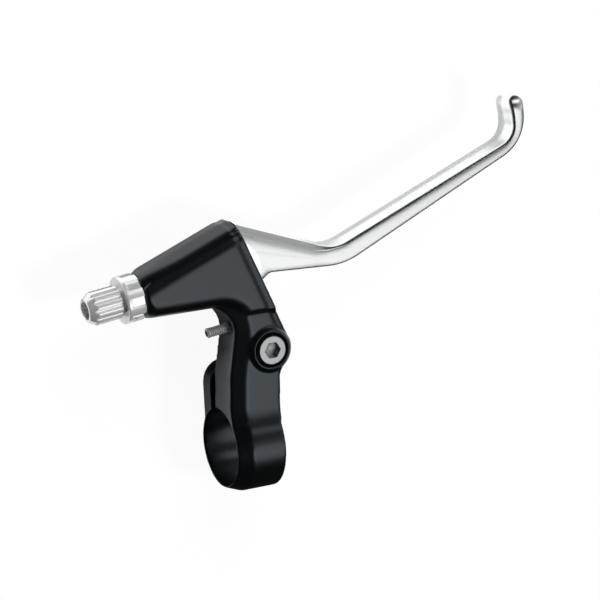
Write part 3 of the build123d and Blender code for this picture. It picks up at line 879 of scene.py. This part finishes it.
    def blade(self) -> Skin:
        """Skin of the blade: its section carried from the root to the rounded tip.

        Over the crest's length the faces fall to the tip along a quarter of an ellipse.

        Returns:
            The closed skin.
        """
        front, back = self.outlines()
        turn = np.linspace(0.0, math.radians(self.end_turn), self.tip_rings + 1)[1:]
        reach = self.tip_round * np.sin(turn)[:, None] * plan(1.0, self.tip_angle)
        front = np.vstack([front, front[-1] + reach])
        back = np.vstack([back, back[-1] + reach])
        closing = np.zeros(len(front))
        closing[-self.tip_rings :] = 1.0 - np.cos(turn)
        travel = np.linspace(0.0, 1.0, len(front))
        swell = self.tip_swell * smooth_step((travel - self.swell_start) / self.tip_ramp)
        front = front + swell[:, None] * plan(1.0, self.tip_angle + SQUARE_ANGLE)
        span = np.linalg.norm(back - front, axis=1)
        across = (back - front) / span[:, None]
        half = span / 2.0 * (1.0 - self.end_share * closing)
        middle = (front + back) / 2.0
        left = run_length(middle[::-1])[::-1]
        crest = np.clip(1.0 - left / self.tip_crest, 0.0, 1.0)
        fall = self.tip_fall * (1.0 - np.sqrt(1.0 - self.crest_share * crest**2))
        tall = self.height / 2.0 - self.face_crown - fall
        flat = self.section(half, tall, travel)
        ground = middle[:, None, :] + flat[..., :1] * across[:, None, :]
        limit = self.ceiling(ground)
        up = np.clip(flat[..., 1], -limit, limit)
        return Skin.from_rings(np.concatenate([ground, (self.middle_z + up)[..., None]], axis=-1))

    def ceiling(self, ground: np.ndarray) -> np.ndarray:
        """Half height that the shallow relief at the mouth leaves.

        Inside the relief's circle the face falls away, one down for each slope inwards, to
        the relief's depth; outside it nothing is taken away.

        Args:
            ground: plan points.

        Returns:
            The half height allowed at each point.
        """
        out, along = self.mouth()
        centre = np.array(self.front_root) + along * (self.root_width - self.relief_back)
        centre = centre + out * (self.relief_bulge - self.relief_radius)
        inside = self.relief_radius - np.linalg.norm(ground - centre, axis=-1)
        return self.height / 2.0 - np.clip(inside / self.relief_slope, 0.0, self.relief_depth)

    def tongue(self) -> Skin:
        """Skin of the tongue: the CAD lever, cut off just inside the blade's root.

        Returns:
            The closed skin.
        """
        out, _ = self.mouth()
        cut = np.append(np.array(self.front_root) + out * self.tongue_overlap, self.middle_z)
        copy = merged_copy("lever_blade")
        bmesh.ops.bisect_plane(
            copy,
            geom=[*copy.verts, *copy.edges, *copy.faces],
            dist=MERGE * MM,
            plane_co=Vector(cut * MM),
            plane_no=Vector((*out, 0.0)),
            clear_outer=True,
        )
        bmesh.ops.holes_fill(copy, edges=[edge for edge in copy.edges if edge.is_boundary])
        copy.verts.index_update()
        points = np.array([vertex.co for vertex in copy.verts]) / MM
        faces = [[vertex.index for vertex in face.verts] for face in copy.faces]
        copy.free()
        return Skin(points, faces)

    def build(self, shop: Paintshop) -> None:
        """Makes the lever from its blade and tongue, and polishes it.

        Args:
            shop: gives each piece its finish.
        """
        blade, tongue = self.blade(), self.tongue()
        start = len(blade.points)
        faces = blade.faces + [[start + number for number in face] for face in tongue.faces]
        whole = Skin(np.vstack([blade.points, tongue.points]), faces)
        made = whole.to_object("lever_forging", self.crease)
        shop.dress(made, Slot.POLISHED_ALLOY, Body.LEVER, "lever_blade")


def hexagon_radius(flats: float, turn: np.ndarray) -> np.ndarray:
    """Radius of a hexagon: half its width, over the cosine of the angle from the nearest flat."""
    sixth = math.pi / 3.0
    return flats / 2.0 / np.cos((turn + sixth / 2.0) % sixth - sixth / 2.0)


def stepped(steps: list[tuple[float, float]]) -> list[tuple[float, float]]:
    """Outline of a turned piece: the radius of each step as far as its end, then its face.

    Args:
        steps: each step's end along the axis, and its radius.

    Returns:
        Distances along the axis and from it, one pair for each corner.
    """
    starts = [0.0] + [end for end, _ in steps]
    corners = [(at, radius) for start, (end, radius) in zip(starts, steps) for at in (start, end)]
    return corners + [(steps[-1][0], 0.0)]


@dataclass
class SocketScrew:
    """Screw with a hexagon socket, turned about one axis.

    Distances run along the axis from the socket's end, which is at 0.
    """

    axis: TurnedAxis
    outline: list[tuple[float, float]]
    socket_depth: float
    thread_from: float
    thread_to: float
    edge: float
    socket_flats: float = 4.0
    pitch: float = 0.8
    thread_depth: float = 0.35
    drill_point: float = 0.15
    drill_end: float = 0.02
    columns: int = 96
    edge_steps: int = 4
    rows_a_pitch: int = 10
    places: int = 5
    crease: float = 28.0

    def skin(self) -> Skin:
        """Skin of the screw: the socket's floor and walls, then the outline with its thread.

        Along the threaded length the radius falls by the thread's depth times a triangle
        wave of (distance / pitch - turn / full turn).

        Returns:
            The closed skin.
        """
        turn = np.linspace(0.0, FULL_TURN, self.columns, endpoint=False)
        corners = np.array([(0.0, self.outline[0][1] - 2.0 * self.edge)] + self.outline)
        path = rounded_path(corners, [self.edge] * (len(corners) - 2), self.edge_steps)
        step = self.pitch / self.rows_a_pitch
        threaded = np.arange(self.thread_from, self.thread_to, step)
        length = run_length(path)
        on_thread = np.interp(threaded, path[:, 0], length)
        stops = np.unique(np.concatenate([length, on_thread]).round(self.places))
        profile = np.stack([np.interp(stops, length, path[:, k]) for k in range(2)], axis=1)
        along, radius = turned_grid(profile, turn)
        wave = 2.0 * np.abs((along / self.pitch - turn / FULL_TURN) % 1.0 - 0.5)
        run_in = smooth_step((along - self.thread_from) / self.pitch)
        run_out = smooth_step((self.thread_to - along) / self.pitch)
        radius = radius - self.thread_depth * wave * run_in * run_out
        hexagon = hexagon_radius(self.socket_flats, turn)
        socket = np.stack([self.drill_end * hexagon, hexagon, hexagon, hexagon + self.edge])
        radius = np.vstack([socket, radius])
        floor = self.socket_depth + self.drill_point * self.socket_flats
        recess = np.array([floor, self.socket_depth, self.edge, 0.0])
        along = np.vstack([np.repeat(recess[:, None], self.columns, axis=1), along])
        return Skin.from_rings(self.axis.surface(along, radius, turn))

    def piece(self, name: str) -> bpy.types.Object:
        """Object of the screw, by its name."""
        return self.skin().to_object(name, self.crease)


@dataclass
class PivotSet:
    """Pivot bolt with its bushes, washer and nut."""

    head_top: float = 11.5
    head_radius: float = 4.05
    head_height: float = 2.6
    shoulder_radius: float = 3.0
    shoulder_end: float = 13.2
    thread_radius: float = 2.45
    bolt_length: float = 20.0
    bolt_edge: float = 0.2
    socket_depth: float = 2.0
    thread_start: float = 1.0
    thread_stop: float = 0.4
    edges: SoftEdges = SoftEdges(width=0.15, crease=30.0)

    def bolt(self) -> bpy.types.Object:
        """Shouldered bolt, with its socket head up.

        Returns:
            The new object.
        """
        pivot, _ = joint_line("lever_pivot")
        steps = [
            (self.head_height, self.head_radius),
            (self.shoulder_end, self.shoulder_radius),
            (self.bolt_length, self.thread_radius),
        ]
        screw = SocketScrew(
            TurnedAxis(np.array([pivot[0], pivot[1], self.head_top]), -UP, AHEAD),
            stepped(steps),
            socket_depth=self.socket_depth,
            thread_from=self.shoulder_end + self.thread_start,
            thread_to=self.bolt_length - self.thread_stop,
            edge=self.bolt_edge,
        )
        return screw.piece("pivot_bolt_turned")

    def build(self, shop: Paintshop) -> None:
        """Makes the bolt and the small pieces around it.

        Args:
            shop: gives each piece its finish.
        """
        shop.dress(self.bolt(), Slot.ZINC_STEEL, Body.BRACKET, "pivot_bolt")
        for node in ("pivot_washer", "pivot_nut"):
            plated = self.edges.piece(node, node + "_plated")
            shop.dress(plated, Slot.ZINC_STEEL, Body.BRACKET, node)
        for node in ("upper_bush", "lower_bush"):
            moulded = self.edges.piece(node, node + "_moulded")
            shop.dress(moulded, Slot.NYLON, Body.LEVER, node)


@dataclass
class CableAdjuster:
    """Fluted cable adjuster and its notched lock ring, on the cable's line.

    Distances run along the line from the horn's end, negative away from the horn.
    """

    head_outer: float = -15.7
    head_inner: float = -6.1
    stem_end: float = 9.9
    head_radius: float = 4.75
    nose_radius: float = 3.3
    nose_length: float = 2.2
    stem_radius: float = 3.95
    housing_radius: float = 2.55
    housing_depth: float = 10.0
    cable_radius: float = 1.3
    flutes: int = 12
    flute_radius: float = 0.75
    flute_depth: float = 0.5
    flute_start: float = -0.7
    flute_root: float = 4.25
    columns_a_flute: int = 18
    edges: tuple[float, ...] = (0.35, 1.2, 0.25, 0.1, 0.4, 0.2, 0.1, 0.1, 0.25)
    edge_steps: int = 7
    crease: float = 40.0
    ring_outer: float = -5.4
    ring_inner: float = -0.2
    ring_radius: float = 6.7
    ring_bore: float = 4.0
    ring_edges: tuple[float, ...] = (0.4, 0.4, 0.15, 0.15)
    ring_edge_steps: int = 6
    ring_crease: float = 32.0
    notches: int = 8
    notch_width: float = 2.6
    notch_depth: float = 1.0
    notch_flange: float = 1.2
    notch_wall: float = 0.14
    notch_steps: tuple[int, ...] = (9, 4, 10, 4, 9)
    row_length: float = 0.3

    def axis(self) -> TurnedAxis:
        """Frame of the cable's line, from the horn's end."""
        origin, along = joint_line("adjuster_turn")
        return TurnedAxis(origin, along, UP)

    def adjuster(self) -> bpy.types.Object:
        """Adjuster: head, nose and stem turned about the line, with ball-ended flutes.

        A flute's depth is the square root of its radius squared less the distance from its
        centre line squared, less what its radius stands outside the head. Past the flute's
        end, that distance is taken to the end of its centre line.

        Returns:
            The new object.
        """
        nose_root = self.head_outer + self.nose_length
        socket_end = self.head_outer + self.housing_depth
        profile = loop_profile(
            [
                (self.head_outer, self.nose_radius),
                (nose_root, self.head_radius),
                (self.head_inner, self.head_radius),
                (self.head_inner, self.stem_radius),
                (self.stem_end, self.stem_radius),
                (self.stem_end, self.cable_radius),
                (socket_end, self.cable_radius),
                (socket_end, self.housing_radius),
                (self.head_outer, self.housing_radius),
            ],
            self.edges,
            self.edge_steps,
        )
        profile = spread(profile, self.row_length)
        turn = np.linspace(0.0, FULL_TURN, self.flutes * self.columns_a_flute, endpoint=False)
        along, radius = turned_grid(profile, turn)
        pitch = FULL_TURN / self.flutes
        aside = self.head_radius * ((turn + pitch / 2.0) % pitch - pitch / 2.0)
        short = np.maximum(nose_root + self.flute_start - along, 0.0)
        squared = self.flute_radius**2 - aside**2 - short**2
        groove = np.sqrt(np.maximum(squared, 0.0)) - (self.flute_radius - self.flute_depth)
        fluted = np.minimum(radius, self.head_radius - np.maximum(groove, 0.0))
        radius = np.where(radius > self.flute_root, fluted, radius)
        points = self.axis().surface(along, radius, turn)
        return Skin.from_rings(points, closed_rows=True).to_object("cable_adjuster", self.crease)

    def lock_ring(self) -> bpy.types.Object:
        """Lock ring: a rounded ring with flat-floored notches that one flange closes.

        Inside a notch the radius goes over to that of a flat floor, the floor's distance
        divided by the cosine of the angle from the notch's middle.

        Returns:
            The new object.
        """
        profile = loop_profile(
            [
                (self.ring_outer, self.ring_radius),
                (self.ring_inner, self.ring_radius),
                (self.ring_inner, self.ring_bore),
                (self.ring_outer, self.ring_bore),
            ],
            self.ring_edges,
            self.ring_edge_steps,
        )
        profile = spread(profile, self.notch_wall)
        pitch = FULL_TURN / self.notches
        half = self.notch_width / 2.0 / self.ring_radius
        wall = self.notch_wall / self.ring_radius
        ends = np.array([-pitch / 2.0, -half - wall, -half, half, half + wall, pitch / 2.0])
        one = even_steps(ends, self.notch_steps)
        turn = (np.arange(self.notches)[:, None] * pitch + one).ravel()
        aside = np.tile(one, self.notches)
        along, radius = turned_grid(profile, turn)
        inside = smooth_step((half + wall - np.abs(aside)) / wall)
        past_flange = along - self.ring_outer - self.notch_flange
        inside = inside * smooth_step(past_flange / self.notch_wall)
        floor = (self.ring_radius - self.notch_depth) / np.cos(np.minimum(np.abs(aside), half))
        radius = radius + inside * (np.minimum(radius, floor) - radius)
        points = self.axis().surface(along, radius, turn)
        skin = Skin.from_rings(points, closed_rows=True)
        return skin.to_object("notched_lock_ring", self.ring_crease)

    def build(self, shop: Paintshop) -> None:
        """Makes the adjuster and the lock ring."""
        shop.dress(self.adjuster(), Slot.TURNED_ALLOY, Body.ADJUSTER, "barrel_adjuster")
        shop.dress(self.lock_ring(), Slot.TURNED_ALLOY, Body.LOCK_RING, "lock_ring")


@dataclass
class SmallScrews:
    """Reach screw in the neck, and the clamp bolt with its washer under the jaw."""

    reach_end: float = -4.8
    reach_length: float = 9.7
    reach_radius: float = 1.45
    reach_chamfer: float = 0.3
    reach_edge: float = 0.05
    reach_socket: float = 1.4
    reach_flats: float = 1.5
    reach_pitch: float = 0.7
    reach_thread: float = 0.3
    reach_plain: float = 0.2
    reach_columns: int = 64
    reach_crease: float = 40.0
    bolt_x: float = -1.0
    bolt_y: float = 17.2
    head_bottom: float = -12.3
    head_radius: float = 4.25
    head_height: float = 4.0
    shank_radius: float = 2.45
    bolt_length: float = 18.1
    bolt_edge: float = 0.3
    socket_depth: float = 2.4
    thread_start: float = 5.0
    thread_stop: float = 0.3
    edges: SoftEdges = SoftEdges(width=0.12, crease=30.0)

    def reach_screw(self) -> bpy.types.Object:
        """Headless screw with a fine thread, its socket towards the bar's middle.

        Returns:
            The new object.
        """
        middle, along = joint_line("reach_screw_turn")
        shoulder = self.reach_radius - self.reach_chamfer
        outline = [
            (0.0, shoulder),
            (self.reach_chamfer, self.reach_radius),
            (self.reach_length - self.reach_chamfer, self.reach_radius),
            (self.reach_length, shoulder),
            (self.reach_length, 0.0),
        ]
        screw = SocketScrew(
            TurnedAxis(middle + along * self.reach_end, along, UP),
            outline,
            socket_depth=self.reach_socket,
            thread_from=self.reach_plain,
            thread_to=self.reach_length - self.reach_plain,
            edge=self.reach_edge,
            socket_flats=self.reach_flats,
            pitch=self.reach_pitch,
            thread_depth=self.reach_thread,
            columns=self.reach_columns,
            crease=self.reach_crease,
        )
        return screw.piece("reach_screw_threaded")

    def clamp_bolt(self) -> bpy.types.Object:
        """Socket-head bolt, its head under the jaw.

        Returns:
            The new object.
        """
        screw = SocketScrew(
            TurnedAxis(np.array([self.bolt_x, self.bolt_y, self.head_bottom]), UP, RIGHT),
            stepped([(self.head_height, self.head_radius), (self.bolt_length, self.shank_radius)]),
            socket_depth=self.socket_depth,
            thread_from=self.head_height + self.thread_start,
            thread_to=self.bolt_length - self.thread_stop,
            edge=self.bolt_edge,
        )
        return screw.piece("clamp_bolt_turned")

    def build(self, shop: Paintshop) -> None:
        """Makes the reach screw, the clamp bolt and its washer.

        Args:
            shop: gives each piece its finish.
        """
        shop.dress(self.reach_screw(), Slot.BLACK_STEEL, Body.REACH_SCREW, "reach_screw")
        shop.dress(self.clamp_bolt(), Slot.ZINC_STEEL, Body.BRACKET, "clamp_bolt")
        washer = self.edges.piece("clamp_washer", "clamp_washer_plated")
        shop.dress(washer, Slot.ZINC_STEEL, Body.BRACKET, "clamp_washer")


@dataclass(frozen=True)
class Softbox:
    """A square area light, aimed at the object."""

    name: str
    azimuth: float
    elevation: float
    distance: float
    side: float
    radiance: float
    seen_in_metal: bool = True


def direction(azimuth: float, elevation: float) -> Vector:
    """Unit vector at an azimuth from the X axis and an elevation, in degrees."""
    a, e = math.radians(azimuth), math.radians(elevation)
    return Vector((math.cos(a) * math.cos(e), math.sin(a) * math.cos(e), math.sin(e)))


@dataclass
class Studio:
    """Camera of the photograph, pale floor and soft lights."""

    target: tuple[float, float, float] = (15.385, 41.272, 10.183)
    camera_distance: float = 800.0
    camera_azimuth: float = 151.947
    camera_elevation: float = 60.690
    camera_roll: float = 111.843
    lens: float = 171.654
    sensor: float = 36.0
    clip: tuple[float, float] = (10.0, 20000.0)
    floor_level: float = -13.7
    floor_side: float = 6000.0
    floor_glow: float = 0.94
    sheet_white: float = 0.9
    table_level: float = -13.6
    table_edges: tuple[float, float] = (-12.0, 22.0)
    card_level: float = -3.6
    card_edges: tuple[float, float] = (22.0, 130.0)
    table_glow: float = 0.06
    sky: float = 0.02
    lights: tuple[Softbox, ...] = (
        Softbox("key_softbox", -40.0, 64.0, 900.0, 560.0, 1.06),
        Softbox("mouth_card", -64.0, 69.0, 850.0, 200.0, 1.0),
        Softbox("gap_card", 10.0, 52.0, 900.0, 250.0, 0.55),
        Softbox("side_card", 28.0, 24.0, 900.0, 920.0, 0.32),
        Softbox("front_lamp", 58.0, 42.0, 900.0, 280.0, 1.3),
        Softbox("key_wash", -30.0, 61.0, 900.0, 200.0, 44.0, seen_in_metal=False),
        Softbox("front_wash", 90.0, 38.0, 700.0, 450.0, 6.0, seen_in_metal=False),
    )

    def camera(self) -> None:
        """Places the camera that the photograph was taken with."""
        data = bpy.data.cameras.new("photo_camera")
        data.lens, data.sensor_width = self.lens, self.sensor
        data.clip_start, data.clip_end = (end * MM for end in self.clip)
        back = direction(self.camera_azimuth, self.camera_elevation)
        right = Vector(UP).cross(back).normalized()
        turned = Matrix((right, back.cross(right), back)).transposed().to_4x4()
        place = Matrix.Translation(Vector(self.target) * MM + back * self.camera_distance * MM)
        camera = in_scene("photo_camera", data)
        roll = Matrix.Rotation(math.radians(self.camera_roll), 4, "Z")
        camera.matrix_world = place @ turned @ roll
        bpy.context.scene.camera = camera

    def sheet(
        self, name: str, edges: tuple[float, float], level: float, ray: str, glow: float
    ) -> bpy.types.Object:
        """Level white sheet under the object, with a share of plain white for one kind of ray.

        Args:
            name: the sheet's name.
            edges: where it starts and ends, along Y in millimetres.
            level: its height in millimetres.
            ray: the Light Path output of the rays that see plain white.
            glow: the share of plain white in what they see.

        Returns:
            The new sheet.
        """
        half = self.floor_side / 2.0 * MM
        low, high = (edge * MM for edge in edges)
        corners = [(-half, low), (half, low), (half, high), (-half, high)]
        mesh = bpy.data.meshes.new(name)
        mesh.from_pydata([(*corner, level * MM) for corner in corners], [], [[0, 1, 2, 3]])
        made = in_scene(name, mesh)
        material = bpy.data.materials.new(name)
        material.use_nodes = True
        nodes = material.node_tree.nodes
        shader = nodes["Principled BSDF"]
        shader.inputs["Base Color"].default_value = (*[self.sheet_white] * 3, 1.0)
        shader.inputs["Roughness"].default_value = 1.0
        shader.inputs["Specular IOR Level"].default_value = 0.0
        path, share = nodes.new("ShaderNodeLightPath"), nodes.new("ShaderNodeMapRange")
        share.inputs["To Max"].default_value = glow
        white, blend = nodes.new("ShaderNodeEmission"), nodes.new("ShaderNodeMixShader")
        wire(
            material.node_tree,
            (path.outputs[ray], share.inputs["Value"]),
            (share.outputs["Result"], blend.inputs["Fac"]),
            (shader.outputs["BSDF"], blend.inputs[1]),
            (white.outputs["Emission"], blend.inputs[2]),
            (blend.outputs["Shader"], nodes["Material Output"].inputs["Surface"]),
        )
        mesh.materials.append(material)
        return made

    def floor(self) -> None:
        """Lays the white floor, and the table and card that reflections show in its place."""
        half = self.floor_side / 2.0
        floor = self.sheet(
            "studio_floor", (-half, half), self.floor_level, "Is Camera Ray", self.floor_glow
        )
        floor.visible_glossy = False
        for name, edges, level in (
            ("table_top", self.table_edges, self.table_level),
            ("raised_card", self.card_edges, self.card_level),
        ):
            made = self.sheet(name, edges, level, "Is Glossy Ray", self.table_glow)
            made.visible_camera = made.visible_diffuse = made.visible_shadow = False

    def world(self) -> None:
        """Fills the sky: white to the camera, and dim for light and reflections."""
        world = bpy.data.worlds.new("studio_world")
        bpy.context.scene.world = world
        world.use_nodes = True
        nodes = world.node_tree.nodes
        path, strength = nodes.new("ShaderNodeLightPath"), nodes.new("ShaderNodeMapRange")
        strength.inputs["To Min"].default_value = self.sky
        strength.inputs["To Max"].default_value = 1.0
        sky = nodes["Background"].inputs
        sky["Color"].default_value = (1.0, 1.0, 1.0, 1.0)
        wire(
            world.node_tree,
            (path.outputs["Is Camera Ray"], strength.inputs["Value"]),
            (strength.outputs["Result"], sky["Strength"]),
        )

    def lamps(self) -> None:
        """Hangs the softboxes, each with the power that gives its radiance over its area."""
        for box in self.lights:
            data = bpy.data.lights.new(box.name, "AREA")
            side = box.side * MM
            data.shape, data.size = "SQUARE", side
            data.energy = box.radiance * math.pi * side**2
            lamp = in_scene(box.name, data)
            away = direction(box.azimuth, box.elevation)
            lamp.location = Vector(self.target) * MM + away * (box.distance * MM)
            lamp.rotation_euler = away.to_track_quat("Z", "Y").to_euler()
            lamp.visible_camera = False
            lamp.visible_glossy = box.seen_in_metal

    def build(self) -> None:
        """Sets up the floor, the lights and the camera."""
        self.floor()
        self.world()
        self.lamps()
        self.camera()
        bpy.context.scene.view_settings.view_transform = "Standard"


def main() -> None:
    """Builds the pieces in order, then the studio around them."""
    logging.basicConfig(level=logging.INFO, format="%(name)s: %(message)s")
    shop = Paintshop()
    for assembly in (Casting(), LeverForging(), PivotSet(), CableAdjuster(), SmallScrews()):
        assembly.build(shop)
    Studio().build()


if __name__ == "__main__":
    main()
